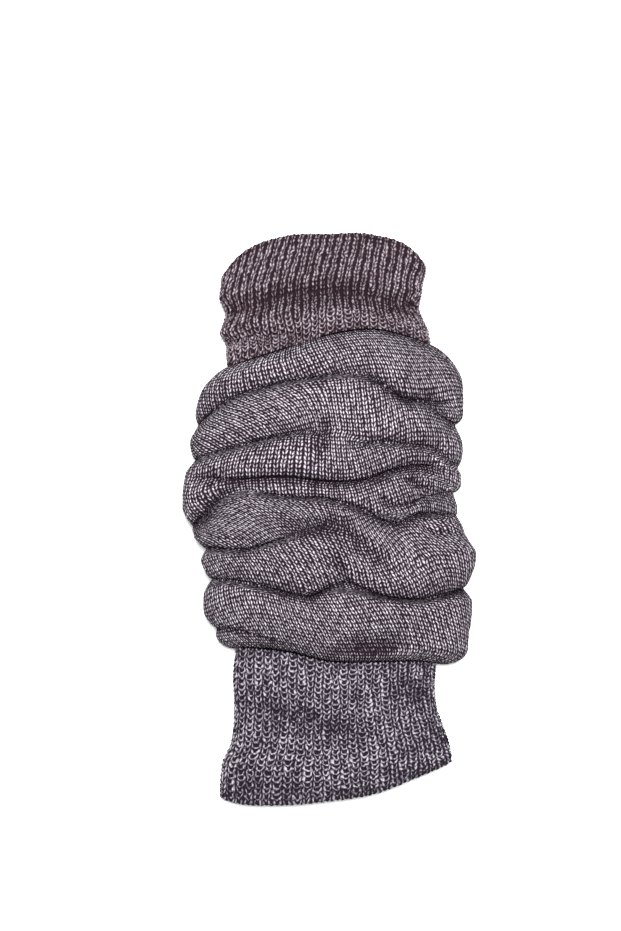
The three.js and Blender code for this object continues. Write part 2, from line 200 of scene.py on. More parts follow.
# %% [markdown]
# ## The creases, one by one
# A crease is drawn as a line on the cloth: a route of its deepest points, each with its depth. It opens over
# some millimetres on its upper side and on its lower side. A "sharp" crease has rolls that meet in a narrow
# cleft, as two cushions do; a soft one is a shallow trough. The creases of the upper side are placed one by
# one, as uneven in length, depth and spacing as they really are. The underside is pressed flat by the floor,
# so its creases are shallower and run straighter.

# %% Creases of the upper side
# above, below: how far the crease opens on its upper and on its lower side
# sharp: from 0 for a soft trough to 1 for a cleft between two rolls
# route: its deepest points, as (x, y, depth)
FRONT_CREASES = {
    "rib_valley": dict(above=8, below=12, sharp=0.2, route=[
        (-62, 100, 6), (-42, 104, 7), (-29, 108, 7.5), (-2, 111.5, 8), (19, 109, 7.5), (35, 105, 7),
        (60, 103, 6)]),
    "rib_fold_left": dict(above=5, below=5, sharp=0.6, route=[
        (-62, 84.5, 5), (-46, 86, 5.5), (-31, 87.7, 5.5), (-18, 87.5, 4.5), (-8, 86.5, 2), (0, 86.5, 0)]),
    "long_arc": dict(above=11, below=6, sharp=0.9, route=[
        (-80, 40, 6), (-66.5, 42.5, 6), (-58, 48.5, 6), (-44, 56, 6), (-25, 61.5, 6), (-4, 64.5, 5.5),
        (13, 67, 4.5), (26, 62, 6.5), (36.5, 55, 9), (48, 53.5, 9), (58, 52, 5), (66, 51, 0)]),
    "arc_branch": dict(above=5, below=7, sharp=0.8, route=[
        (82, 40, 5), (64, 42, 5), (56, 45.5, 4), (50, 48, 2), (44, 50, 0)]),
    "left_shoulder": dict(above=9, below=5, sharp=0.9, route=[
        (-82, 24.5, 5), (-66, 25, 5.5), (-49, 29, 6), (-35, 32, 6.5), (-22, 35.7, 7), (-13, 36.8, 6.5),
        (-7, 35.8, 5.5), (-2, 33, 3), (2, 30, 0)]),
    "middle_groove": dict(above=5, below=4, sharp=0.5, route=[
        (-7, 50, 0), (-3, 43, 3.5), (-1.5, 37, 5.5), (-2.5, 31, 6), (-5, 25, 5), (-7, 18, 0)]),
    "middle_line": dict(above=6, below=7, sharp=1, route=[
        (-68, 14.5, 0), (-61, 14.8, 4), (-46, 14.3, 7.5), (-21, 15.2, 7.5), (-4.4, 13.3, 8), (15.4, 13.5, 8),
        (31, 19.2, 8.5), (42, 20.9, 8), (49.5, 20.6, 7), (54.5, 17.5, 4.5), (55.5, 13, 0)]),
    "eye_top": dict(above=8, below=4, sharp=0.9, route=[
        (10, 27.5, 0), (14, 29.3, 4), (25, 32, 6.5), (40, 31, 7), (52, 28.8, 6), (57, 25.5, 5.5),
        (62, 21.5, 5), (82, 20, 4)]),
    "eye_slit": dict(above=4, below=3.5, sharp=0.7, route=[
        (35.5, 17, 0), (38.2, 13.4, 5), (43.4, 10.8, 6), (47.5, 8.8, 5), (50.5, 7, 3), (53, 5.5, 0)]),
    "right_branch": dict(above=4, below=4, sharp=0.9, route=[
        (82, 7, 3), (61, 7, 4), (48, 5.2, 5), (36, 0.6, 5), (30, 0.9, 5), (26, 3.2, 4.5), (24, 6, 0)]),
    "right_sweep": dict(above=6, below=7, sharp=1, route=[
        (-38, 7, 0), (-31, 6.5, 4), (-16.4, 5, 6), (0, 4, 6), (15, -0.3, 6), (31, -7.2, 7.5), (43, -3, 6),
        (53, -2.5, 5.5), (60, -3.2, 4), (68, -3.5, 0.5)]),
    "right_tuck": dict(above=6, below=3, sharp=0.9, route=[
        (44, -8, 0), (47.5, -10.5, 3.5), (52, -13, 4.5), (57, -12.5, 3.5), (64, -12, 1.5)]),
    "left_slant": dict(above=8, below=8, sharp=0.7, route=[
        (-37, 12.5, 0), (-48, 8, 4), (-55, 3, 6), (-60.5, -2, 7), (-67, -7, 7), (-82, -8, 6)]),
    "broad_hollow": dict(above=8, below=10, sharp=0.2, route=[
        (-36, -4, 0), (-26, -8, 3), (-14, -11, 5), (-4, -10.5, 6.5), (5, -9, 5), (12, -12, 0)]),
    "left_curve": dict(above=9, below=5, sharp=1, route=[
        (-80, -18, 5), (-64, -18, 5.5), (-44, -20.2, 6.5), (-30, -17.8, 6), (-16.4, -13.5, 4),
        (-2, -8, 0)]),
    "slant_groove": dict(above=4, below=8, sharp=0.7, route=[
        (1, -7, 0), (7, -10, 5), (15, -17, 5.5), (24.4, -24.3, 4.5), (33, -31, 3), (40, -36, 0)]),
    "lower_wave": dict(above=10, below=5, sharp=1, route=[
        (-80, -32.5, 5), (-61, -33.2, 5.5), (-43, -35.1, 6.5), (-30, -38, 7.5), (-16.4, -41.3, 9),
        (-9, -42, 9), (0, -38.4, 8), (9.4, -35.8, 7), (20, -40, 7.5), (32, -43, 8.5), (46.4, -43, 8.5),
        (61.3, -39, 8), (69, -37.5, 7), (86, -36, 6)]),
    "wave_branch": dict(above=5, below=5, sharp=0.5, route=[
        (-4, -21, 0), (1, -25, 3.5), (6, -30, 5), (11, -36, 6)]),
    "hem_fold_left": dict(above=7, below=5, sharp=0.9, route=[
        (-76, -56, 5), (-55.6, -57, 5.5), (-46.5, -57.5, 5.5), (-28, -63, 4.5), (-8, -69, 0)]),
    "hem_hollow": dict(above=9, below=5, sharp=0.2, route=[
        (-6, -69, 0), (6, -69, 5), (16, -68, 9), (26, -68, 8), (35, -66, 4), (42, -64, 0)]),
    # On the lower cuff, these shallow hollows show mostly through the shade painted from their depth.
    "cuff_hollow": dict(above=14, below=15, sharp=0, route=[
        (-60, -90, 1), (-32, -95, 1.7), (-9, -101, 2), (12, -106, 1.8), (26, -104, 0)]),
    "cuff_side_hollow": dict(above=12, below=12, sharp=0, route=[
        (24, -92, 0), (36, -88, 1.8), (48, -90, 1.8), (62, -96, 1)]),
    "rim_hollow_left": dict(above=12, below=12, sharp=0, route=[
        (-60, -124, 0), (-44, -130, 1.6), (-28, -131, 1.6), (0, -131, 1.5), (22, -129, 1.4),
        (38, -124, 0)]),
    "rim_hollow_right": dict(above=10, below=10, sharp=0, route=[
        (28, -112, 0), (46, -110, 1.5), (64, -106, 2)]),
}
print(len(FRONT_CREASES), "creases on the upper side")

# %% Creases of the underside
BACK_CREASES = table("left middle right depth width", [  # y at the left edge, the middle and the right
    (101, 107, 104, 1.5, 8), (86, 90, 92, 1.5, 6), (42, 57, 41, 4, 9), (25, 31, 18, 3.5, 8),
    (-7, 9, 6, 3.5, 8), (-18, -9, -4, 3.5, 8), (-33, -41, -37, 4, 9), (-57, -55, -61, 3, 7)])
BACK_SHARPNESS = 0.5
BACK_REACH = 80  # how far out to each side they are drawn
BACK_TURN = 45  # where their ends turn level
print(len(BACK_CREASES["left"]), "creases on the underside")

# %% [markdown]
# ## Smooth curves through the tables
# Each table is read by one cubic curve that passes through its points. A route is drawn by the same
# kind of curve in three numbers at once: x, y and depth.


# %% Curves
def read_curve(xs, ys, at):
    """A smooth curve through (xs, ys), read at many places: on each step a cubic whose slope at
    each point is the slope between its two neighbours. Past its ends it stays level."""
    xs, ys = np.asarray(xs, float), np.asarray(ys, float)
    slope = np.empty_like(xs)
    slope[1:-1] = (ys[2:] - ys[:-2]) / (xs[2:] - xs[:-2])
    slope[0] = (ys[1] - ys[0]) / (xs[1] - xs[0])
    slope[-1] = (ys[-1] - ys[-2]) / (xs[-1] - xs[-2])
    i = np.clip(np.searchsorted(xs, at, side="right") - 1, 0, len(xs) - 2)
    step = xs[i + 1] - xs[i]
    t = np.clip((at - xs[i]) / step, 0, 1)
    return (ys[i] * (2 * t**3 - 3 * t**2 + 1) + ys[i + 1] * (3 * t**2 - 2 * t**3)
            + step * (slope[i] * (t**3 - 2 * t**2 + t) + slope[i + 1] * (t**3 - t**2)))


def draw_route(points, steps=8):
    """Catmull-Rom curve: each stretch is the cubic whose slope at a point is half the way from its
    neighbour before to its neighbour after. Each end goes on straight for one more point."""
    p = np.array(points, float)
    p = np.vstack([2 * p[0] - p[1], p, 2 * p[-1] - p[-2]])
    t = np.linspace(0, 1, steps, endpoint=False)[:, None, None]
    a, b, c, d = p[:-3], p[1:-2], p[2:-1], p[3:]
    curve = 0.5 * (2 * b + (c - a) * t + (2 * a - 5 * b + 4 * c - d) * t**2 + (3 * b - a - 3 * c + d) * t**3)
    return np.vstack([curve.transpose(1, 0, 2).reshape(-1, 3), p[-2]])


def smooth(t):
    """A smooth step: 0 up to 0, 1 from 1 on, and level at both ends."""
    t = np.clip(t, 0, 1)
    return t * t * (3 - 2 * t)


# %% Draw the creases
def back_route(left, middle, right, depth):
    """A crease of the underside: level from each edge to where it turns towards the middle."""
    ends = ((-BACK_REACH, left), (-BACK_TURN, left), (0, middle), (BACK_TURN, right), (BACK_REACH, right))
    return draw_route([(x, y, depth) for x, y in ends])


front_lines = [(crease["above"], crease["below"], crease["sharp"], draw_route(crease["route"]))
               for crease in FRONT_CREASES.values()]
back_lines = [(width, width, BACK_SHARPNESS, back_route(left, middle, right, depth))
              for left, middle, right, depth, width in zip(*BACK_CREASES.values())]
print("longest route has", max(len(line[3]) for line in front_lines), "points")

# %% How deep the creases are at a place, and how far their rolls lean over
OVERHANG = 0.25  # how far a roll leans over a sharp crease, as a share of the crease's depth
FAR_SIDE = 1.4  # a sharp crease opens this much wider on its lower side
ROLL_POWER = 0.65  # how round the roll above a sharp crease is: one half would be a circle
SLACK_POWER = 1.6  # how slackly the cloth comes up below it
CROSSING_POWER = 4  # how surely the deeper crease wins where two of them cross
HUMP_SCALE = 12.2  # makes the lean's hump one high at its top
LEAST_AWAY = 0.01  # keeps the division by a distance safe on the route itself


def creases_at(lines, x, y):
    """Depth of all the creases together at every (x, y), and the step by which the rolls above
    them lean over. For each crease: the nearest point of its route gives its depth, and p, the
    share of the way out from it, fades that depth to nothing. In a soft crease both sides are a
    smooth step. In a sharp one the upper side is a round roll: one less the square of 1 - p, to
    the roll's power. The lower side comes up like a slack sheet: one less 1 - p to the slack
    power. Where creases cross, their depths are added as fourth powers, so that the deeper one
    wins smoothly. The lean is a hump, p times the fourth power of 1 - p, towards the crease."""
    total = np.zeros(x.shape)
    lean_x, lean_y = np.zeros(x.shape), np.zeros(x.shape)
    for above, below, sharp, line in lines:
        below = below * (1 + (FAR_SIDE - 1) * sharp)
        reach = max(above, below)
        low, high = line[:, :2].min(0) - reach, line[:, :2].max(0) + reach
        near = (x > low[0]) & (x < high[0]) & (y > low[1]) & (y < high[1])
        start, step = line[:-1], np.diff(line, axis=0)
        from_x, from_y = x[near][:, None] - start[:, 0], y[near][:, None] - start[:, 1]
        t = (from_x * step[:, 0] + from_y * step[:, 1]) / (step[:, 0]**2 + step[:, 1]**2)
        t = np.clip(t, 0, 1)
        off_x, off_y = from_x - t * step[:, 0], from_y - t * step[:, 1]
        away = np.hypot(off_x, off_y)
        k = away.argmin(axis=1)
        nearest = (np.arange(len(away)), k)
        depth = start[k, 2] + t[nearest] * step[k, 2]
        side = (step[k, 0] * from_y[nearest] - step[k, 1] * from_x[nearest]) * np.where(step[k, 0] < 0, -1, 1)
        part = np.clip(away[nearest] / np.where(side > 0, above, below), 0, 1)
        sharp_rise = np.where(side > 0, (1 - (1 - part)**2)**ROLL_POWER, 1 - (1 - part)**SLACK_POWER)
        rise = smooth(part) * (1 - sharp) + sharp_rise * sharp
        total[near] += np.maximum(depth * (1 - rise), 0)**CROSSING_POWER
        hump = HUMP_SCALE * part * (1 - part)**4 * (side > 0) * sharp * depth * OVERHANG
        lean_x[near] -= hump * off_x[nearest] / (away[nearest] + LEAST_AWAY)
        lean_y[near] -= hump * off_y[nearest] / (away[nearest] + LEAST_AWAY)
    return total**(1 / CROSSING_POWER), lean_x, lean_y


middle_depth = creases_at(front_lines, np.zeros(1), np.full(1, 12.0))[0]
print("crease depth in the middle of the leg:", middle_depth.round(1))

# %% [markdown]
# ## The skin as a function
# Every point of the cloth is found by two numbers: "turn", how far round the tube it is, and
# "share", how far along the stretch. A section of the tube is a squarish ellipse with its lower
# half cut off flat by the floor. The real leg swells out from each cuff in a quarter circle, and so
# does the formula. The creases push the cloth inwards, straight against the way it faces.

# %% A section
SQUARENESS = 2.5  # 2 is an ellipse, more is a flatter top with rounder sides
WAIST = 0.45  # height of a section's widest point, as a share of its full height
SINK = 1.3  # how far the lower half would bulge below the floor, which keeps it flat
OUTLINE_STEPS = 2880  # how finely the outline is walked


def section(angle, left, right, height):
    """x and z of a flattened section. Both follow a cosine and a sine raised to the power
    2 / SQUARENESS, and z is cut off at the floor."""
    c, s = np.cos(angle), np.sin(angle)
    waist = WAIST * height
    power = 2 / SQUARENESS
    x = np.sign(c) * np.abs(c)**power * np.where(c > 0, right, left)
    z = waist + np.sign(s) * np.abs(s)**power * np.where(s > 0, height - waist, waist * SINK)
    return x, np.maximum(z, 0)


def even_angle(turn, left, right, height):
    """The angle at each share of the way round a section, by walking along its outline."""
    fine = np.linspace(0, 2 * np.pi, OUTLINE_STEPS + 1)
    x, z = section(fine, left, right, height)
    walked = np.concatenate([[0], np.cumsum(np.hypot(np.diff(x), np.diff(z)))])
    return np.interp(turn % 1 * walked[-1], walked, fine)


sample = dict(left=64, right=66, height=34)
sample_x = section(even_angle(np.array([0, 0.25, 0.5]), **sample), **sample)[0]
print("x at the start, a quarter and half of the way round the leg:", sample_x.round())

# %% The three stretches
# typical_y: where the section is taken that spaces the points round the whole stretch
# lines: which written row of stitches lies at which share of the stretch
# swells: where it swells out from a seam, as (end, over how many millimetres, ring at the seam)
# tuck: how much shorter its underside is at the lower end
# fade: over what share of the stretch its creases die out towards each end
LOWER_CUFF = dict(
    node="lower_cuff", form=LOWER_CUFF_FORM, typical_y=-95, swells=[], tuck=3, fade=0,
    lines={0: "lower_rim", 1: "lower_seam"})
LEG = dict(
    node="leg_body", form=LEG_FORM, typical_y=-20, tuck=0, fade=1 / 12,
    swells=[(0, 8, LOWER_SEAM_RING), (1, 9, UPPER_SEAM_RING)],
    lines={0: "lower_seam", 0.206: "under_wave", 0.226: "wave", 0.335: "under_curve", 0.355: "curve",
           0.455: "under_sweep", 0.475: "sweep", 0.541: "under_middle", 0.561: "middle",
           0.658: "under_shoulder", 0.678: "shoulder", 0.814: "under_arc", 0.834: "arc", 1: "upper_seam"})
UPPER_CUFF = dict(
    node="upper_cuff", form=UPPER_CUFF_FORM, typical_y=105, swells=[], tuck=0, fade=0,
    lines={0: "upper_seam", 0.5: "rib_valley", 1: "upper_rim"})
STRETCHES = (LOWER_CUFF, LEG, UPPER_CUFF)
print("stretches:", {stretch["node"]: len(stretch["lines"]) for stretch in STRETCHES}, "written rows")


# %% From a turn and a share to a point
SIDE_X = 50.0  # the reach to each side is read where a row passes this far out
SMALL_ANGLE = 0.01  # a small step round a section, which shows which way it faces
TINY = 1e-12  # keeps a division by a length safe


def between_lines(stretch, values, x, share):
    """A table with a row of seven values for each written row of stitches, read at any x and share:
    a smooth curve across, and straight steps from one written row to the next."""
    shares = np.array(list(stretch["lines"]))
    rows = np.stack([read_curve(LINE_X, values[name], x) for name in stretch["lines"].values()])
    k = np.clip(np.searchsorted(shares, share, side="right") - 1, 0, len(shares) - 2)
    t = (share - shares[k]) / np.diff(shares)[k]
    low = np.take_along_axis(rows, k[None], 0)[0]
    high = np.take_along_axis(rows, k[None] + 1, 0)[0]
    return low + (high - low) * t


def typical_section(stretch):
    """The section in the middle of a stretch, which spaces the points round all of it."""
    form, y = stretch["form"], stretch["typical_y"]
    return {key: read_curve(form["y"], form[key], y) for key in ("left", "right", "height")}


def skin(stretch, turn, share):
    """A point of the outer skin, in millimetres, and how deep in a crease it lies. The section's size at this
    row comes from the form table, drawn in towards a seam by a quarter circle. The crease depth is blended
    from the underside's creases to the upper side's as the cloth turns to face up. Towards the ends the
    creases press in and lean less, but the depth is returned in full, for the painted shade."""
    angle = even_angle(turn, **typical_section(stretch))
    form = stretch["form"]

    def row_y(x):
        return between_lines(stretch, ROW_LINES, np.broadcast_to(x, share.shape), share)

    size = dict(left=read_curve(form["y"], form["left"], row_y(-SIDE_X)),
                right=read_curve(form["y"], form["right"], row_y(SIDE_X)),
                height=read_curve(form["y"], form["height"], row_y(0.0)))
    for end, over, ring in stretch["swells"]:
        end_y = between_lines(stretch, ROW_LINES, np.zeros(share.shape), np.full(share.shape, float(end)))
        part = np.clip(np.abs(row_y(0.0) - end_y) / over, 0, 1)
        swell = np.sqrt(1 - (1 - part)**2)
        size = {key: ring[key] + (size[key] - ring[key]) * swell for key in size}

    x, z = section(angle, **size)
    before, after = section(angle - SMALL_ANGLE, **size), section(angle + SMALL_ANGLE, **size)
    out_x, out_z = after[1] - before[1], before[0] - after[0]
    length = np.hypot(out_x, out_z) + TINY
    out_x, out_z = out_x / length, out_z / length
    facing_up = smooth(out_z + 0.5)
    tuck = stretch["tuck"] * (1 - facing_up) * (1 - share)**2
    y = row_y(x) + tuck
    front, lean_x, lean_y = creases_at(front_lines, x, y)
    back = creases_at(back_lines, x, y)[0]
    depth = back + (front - back) * facing_up
    fade = 1.0
    if stretch["fade"]:
        fade = np.clip(np.minimum(share, 1 - share) / stretch["fade"], 0, 1)
    x, z = x - out_x * depth * fade, z - out_z * depth * fade
    y = row_y(x) + tuck
    lean_share = facing_up * fade
    return np.stack([x + lean_x * lean_share, y + lean_y * lean_share, z], -1), depth


top_of_leg, top_depth = skin(LEG, np.full(5, 0.25), np.linspace(0.1, 0.9, 5))
print("heights along the top of the leg:", top_of_leg[:, 2].round(1), "crease depths:", top_depth.round(1))

# %% [markdown]
# ## Columns of stitches, and how they slant
# A tube that is pushed together also twists a little, so its columns of stitches, the wales, don't
# run straight: they lean over on most folds and stand upright on a few. The table says how far a
# column lies to the right of where it belongs, at each written row. Down a roll the columns swing
# from left to right, and in the crease below it, out of sight, they slide back. The grid of the
# mesh follows the columns, so one vertex line is one side of a column all the way along, and the
# ribs can be real relief.

# %% Drift of the columns
COLUMN_DRIFT = {  # how far to the right of where it belongs a column lies, at each x of LINE_X
    "lower_rim": [0] * 7,
    "lower_seam": [3, 4, 4.5, 9, 8, 5.5, 6],
    "under_wave": [-3, -4, -4.5, -9, -8, -5.5, -6],
    "wave": [3, 3.5, 5.5, 6.5, 9, 12, 7],
    "under_curve": [-3, -3.5, -5.5, -3.5, 1.5, 2, 2],
    "curve": [4, 15, 10, -1, 0.5, 1, 1],
    "under_sweep": [-4, -15, -10, -4, -7, -11, -3],
    "sweep": [2, 0.5, 0.5, 0.5, 2, 2.5, -3],
    "under_middle": [-2, -0.5, -0.5, -0.5, -2, -3, -4.5],
    "middle": [-1, -1, -1, 1.5, 2.5, 0.5, -1],
    "under_shoulder": [1, 1, 1, 0.5, -2.5, -2, -1],
    "shoulder": [5.5, 11, 10, 1.5, 1.5, 2.5, 3.5],
    "under_arc": [-5.5, -11, -10, -4, -1.5, -2.5, -3.5],
    "arc": [4, 3, 4, 5, 6, 9, 9.5],
    "upper_seam": [-4, -3, -4, -5, -6, -9, -9.5],
    "rib_valley": [0] * 7,
    "upper_rim": [5, 6, 7, 6, 4, 2, 0],
}
CUFF_DRIFT = dict(COLUMN_DRIFT, lower_seam=[0] * 7, upper_seam=[0] * 7)  # the ribs start straight
ROUND_PER_WIDTH = 2.1  # the way round a section, as a multiple of its width
LEAN_STEPS = 6
print("largest drift on the leg:", max(np.abs(row).max() for row in COLUMN_DRIFT.values()), "mm")


def lean(stretch, turn, share):
    """The turn at which a column lies once it has drifted. The drift depends on where the column
    ends up, so it is found by putting the last answer back in a few times."""
    size = typical_section(stretch)
    round_length = ROUND_PER_WIDTH * (size["left"] + size["right"])
    drift_table = COLUMN_DRIFT if stretch is LEG else CUFF_DRIFT
    moved = turn
    for _ in range(LEAN_STEPS):
        x = section(even_angle(moved, **size), **size)[0]
        moved = turn - between_lines(stretch, drift_table, x, share) / round_length
    return moved


drifted = lean(LEG, np.array([0.25]), np.array([0.0]))
print("a column at the top middle starts at turn", drifted.round(3), "of the lower seam")

# %% [markdown]
# ## Rows of stitches of even length
# A knitter's rows are all the same height, however deep the folds are. So the rows of the mesh are
# spaced by the length walked along the cloth in each column, up and over the rolls. A coarse copy
# of the skin measures that, and the answer is smoothed across the columns, because a row of
# stitches can't jump.

# %% Walk along the columns
MEASURED_COLUMNS = 84
MEASURED_ROWS = 300
SMOOTHED_OVER = 6  # measured columns to each side, weighed by a bell
BELL_WIDTH = 2.0  # in measured columns


def even_shares(stretch, rows):
    """For each measured column, the shares that cut its length into equal rows: the length walked
    is added up along the column and read backwards. Returns them with the mean length in mm."""
    share = np.linspace(0, 1, MEASURED_ROWS)[:, None] * np.ones(MEASURED_COLUMNS)
    turn = np.arange(MEASURED_COLUMNS)[None] / MEASURED_COLUMNS * np.ones_like(share)
    points = skin(stretch, lean(stretch, turn, share), share)[0]
    walked = np.linalg.norm(np.diff(points, axis=0), axis=-1)
    walked = np.vstack([np.zeros(MEASURED_COLUMNS), np.cumsum(walked, axis=0)])
    length = walked[-1].mean()
    walked /= walked[-1]
    steps = np.arange(-SMOOTHED_OVER, SMOOTHED_OVER + 1)
    bell = np.exp(-0.5 * (steps / BELL_WIDTH)**2)
    walked = sum(weight * np.roll(walked, step, axis=1) for weight, step in zip(bell / bell.sum(), steps))
    even = np.linspace(0, 1, rows + 1)
    shares = np.stack([np.interp(even, walked[:, k], share[:, 0]) for k in range(MEASURED_COLUMNS)], axis=1)
    return shares, length


def spread_round(values, columns):
    """Values measured at a few columns, read at many: a closed curve made of straight steps."""
    at = np.arange(columns) / columns * MEASURED_COLUMNS
    k = at.astype(int)
    t = at - k
    return values[:, k] * (1 - t) + values[:, (k + 1) % MEASURED_COLUMNS] * t


leg_length = even_shares(LEG, 10)[1]
print("the leg's cloth is", round(leg_length), "mm long from seam to seam")

# %% [markdown]
# ## Stitches as a height
# Each pattern below is a height, in two numbers: u counts the columns of stitches and v counts the
# rows. They are plain sums, so the same function serves twice: on numpy arrays it moves the
# vertices, and on shader sockets it shades what lies between them.
#
# Plain knitting shows one V a stitch: two slanted legs of yarn, each fat in the middle. A rib is
# one such column standing proud, with a gutter beside it. Where a rib is pulled wide open, its
# legs part, and each stitch becomes a U of yarn below a small dark hole.


# %% Patterns of the knitting
def above_zero(x):
    """x where it is positive, and otherwise 0: half the sum of x and its size."""
    return (x + abs(x)) / 2


def yarn_across(side, place, half_width):
    """A leg of yarn across its column: a parabola with its top that far from the middle of the
    column, and 0 beyond its half width."""
    off = (side - place) / half_width
    return above_zero(1 - off * off)


def yarn_along(v, side, slant, thin, swell):
    """A leg of yarn along its column: once a stitch it swells from thin by a parabola and thins
    again. Slant makes it do so later the further it is from the middle, which turns it into a V."""
    part = (v - slant * side) % 1
    return thin + swell * part * (1 - part)


def jersey(u, v, openness):
    """Plain stitches, which have no ribs to open. The tops of the legs lie a little over a fifth of
    a column out from its middle. That leaves a groove between columns, and a fine line down the
    middle of each."""
    side = abs(u % 1 - 0.5)
    across = yarn_across(side, place=0.22, half_width=0.2)
    return across * yarn_along(v, side, slant=1.4, thin=0.15, swell=3.4)


def rib(u, v, openness):
    """A rib: two legs of yarn to a stitch, as on plain knitting, with a wider gutter beside them
    and a little yarn showing between them. As the rib is pulled open its legs thin and move apart,
    and the yarn that joins them hangs between them as a U, whose way round follows the square of
    the distance from the middle. Above each U is a dark hole."""
    side = abs(u % 1 - 0.5)
    spread = 0.2 + 0.13 * openness
    legs = (yarn_across(side, place=spread, half_width=0.18 - 0.03 * openness)
            * yarn_along(v, side, slant=1.6, thin=0.35, swell=2.4))
    inside = side / spread
    between = above_zero(1 - inside * inside)
    hang = 5 * side * side
    bend = ((v - hang) % 1 - 0.5) / 0.3
    loop = between * above_zero(1 - bend * bend)
    filled = between * (1 - openness) * 0.12
    return legs + loop * openness * 0.9 + filled


def wale(u, v, openness):
    """A column of plain stitches on average, the same in every row: a parabola across it, with a
    groove on each side."""
    side = abs(u % 1 - 0.5)
    return 1 - 4 * side * side


test_u, test_v = np.meshgrid(np.linspace(0, 1, 50), np.linspace(0, 1, 50))
for name, heights in (("plain", jersey(test_u, test_v, 0)), ("closed rib", rib(test_u, test_v, 0)),
                      ("open rib", rib(test_u, test_v, 1)), ("column", wale(test_u, test_v, 0))):
    print(name, "goes from", heights.min().round(2), "to", heights.max().round(2))

# %% [markdown]
# ## How the stitches lie on each stretch
# The leg is a fine knit: its columns are real grooves in the mesh, and its Vs are left to the
# shader, because two hundred thousand triangles give each stitch only about seventeen. The cuffs
# have half as many columns, so their ribs, gutters, legs and holes are all real relief.
#
# A rib opens where it is pulled wide. The share by which it is open is worked out from the place
# on the cuff, used for the relief, and stored on the mesh for the shader.
#
# A second mark, the painted shade, darkens the colour of the yarn deep in a crease and at the ends of a
# stretch, where shade falls: it is shade painted into the colour, on top of the shade the lamp gives. It is
# full from the crease depth dark_at on, and at the lower and the upper end it is set by the two numbers of
# ends.


# %% Pattern, ends and painted shade of each stretch
WIDEST_X = -12  # where the lower cuff is pulled widest
LEAST_OPEN = 0.65  # how far its ribs are open at its sides


def fall(x, over, to):
    """A smooth step down from 1 to 0. It is as long as over, and it ends at to."""
    return smooth((to - x) / over)


def leg_openness(x, share):
    """Plain knitting has no ribs to open."""
    return np.zeros(x.shape)


def lower_openness(x, share):
    """The lower cuff is pulled wide nearly all over, and less towards its sides."""
    return LEAST_OPEN + (1 - LEAST_OPEN) * fall(np.abs(x - WIDEST_X), over=25, to=50)


def upper_openness(x, share):
    """The upper cuff opens only on its lower roll, towards the leg."""
    return fall(share, over=0.2, to=0.34)


# wales, courses: how many columns and rows of stitches there are
# across: how many lines of vertices a column has
# rows, inner_rows: how many rows of faces the outer and the inner skin have
# pattern, relief: the height of the stitches, and how far in the skin is pressed where it is 0
# rims, ends: 1 where the lower or the upper end is a free rim, and how much shade is painted on those ends
# dark_at: the crease depth, in mm, from which the painted shade is full
LOWER_CUFF.update(wales=50, courses=27, across=8, rows=216, inner_rows=14, wall=2.6, pattern=rib,
                  relief=0.9, openness=lower_openness, rims=(1, 0), dark_at=4.2, ends=(0.7, 0.2))
LEG.update(wales=100, courses=114, across=2, rows=420, inner_rows=60, wall=2.0, pattern=wale,
           relief=0.5, openness=leg_openness, rims=(0, 0), dark_at=8.0, ends=(0.2, 0.7))
UPPER_CUFF.update(wales=54, courses=24, across=8, rows=192, inner_rows=14, wall=2.6, pattern=rib,
                  relief=1.0, openness=upper_openness, rims=(0, 1), dark_at=13.0, ends=(0.3, 0.7))
RIM_ROWS = 3  # rows of vertices that close an end, between the outer and the inner skin
for stretch in STRETCHES:
    mesh_rows = stretch["rows"] + stretch["inner_rows"] + 2 * (RIM_ROWS + 1)
    print(stretch["node"], "takes", 2 * stretch["wales"] * stretch["across"] * mesh_rows, "triangles")

# %% [markdown]
# ## From the skin to a wall of cloth
# The outer skin is the form with its relief pressed in. The inner skin is the same form moved in
# by the thickness of the cloth, with fewer rows, since nobody looks at it closely. The two are
# joined at each end, so that the tube is open and its wall is a closed solid. A Solidify modifier
# could make the inner skin too, but not the round, gently scalloped edge of a free rim. A seam is
# cut straight, because the next stretch meets it there.

# %% Lay out the stitches
SEAM_GAP = 0.3  # left between two stretches
WAVER = 0.2  # how far a column wavers to each side, as a share of its width


def waver(turn, share, seed):
    """Slow unevenness between -1 and 1: five waves, each going a whole number of times round the
    tube and some way along it, with seeded phases."""
    random = np.random.default_rng(seed)
    waves = [np.sin(2 * np.pi * (around * turn + along * share + random.random()))
             for around, along in ((3, 0.8), (5, -1.1), (9, 1.6), (14, -2.3), (23, 3.1))]
    return sum(waves) / len(waves)


def lay_out(stretch, seed):
    """For each point of the outer skin its stitch numbers u and v, its turn and its share, with the
    length of the cloth. The skin stops half the wall short of a rim, for its round edge, and half
    the gap short of a seam."""
    columns = stretch["wales"] * stretch["across"]
    shares, length = even_shares(stretch, stretch["rows"])
    low, high = ((stretch["wall"] if rim else SEAM_GAP) / 2 / length for rim in stretch["rims"])
    share = low + spread_round(shares, columns) * (1 - high - low)
    u = np.arange(columns) / stretch["across"] * np.ones_like(share)
    v = np.linspace(0, stretch["courses"], stretch["rows"] + 1)[:, None] * np.ones_like(share)
    turn = lean(stretch, u / stretch["wales"], share)
    turn = turn + waver(turn, share, seed) * WAVER / stretch["wales"]
    return u, v, turn, share, length


print("waver at three places of the leg:", waver(np.array([0, 0.3, 0.6]), np.full(3, 0.5), 12).round(2))

# %% Face, painted shade and edge of the cloth
END_SHADE_REACH = 3.5  # how far from an end the painted shade reaches
SCALLOP = 0.5  # how far the edge of a free rim waves out and in


def normals_of(points):
    """Which way a grid of points faces: the step along the tube crossed with the step round it."""
    around = np.roll(points, -1, axis=1) - np.roll(points, 1, axis=1)
    normal = np.cross(np.gradient(points, axis=0), around)
    return normal / (np.linalg.norm(normal, axis=-1, keepdims=True) + TINY)


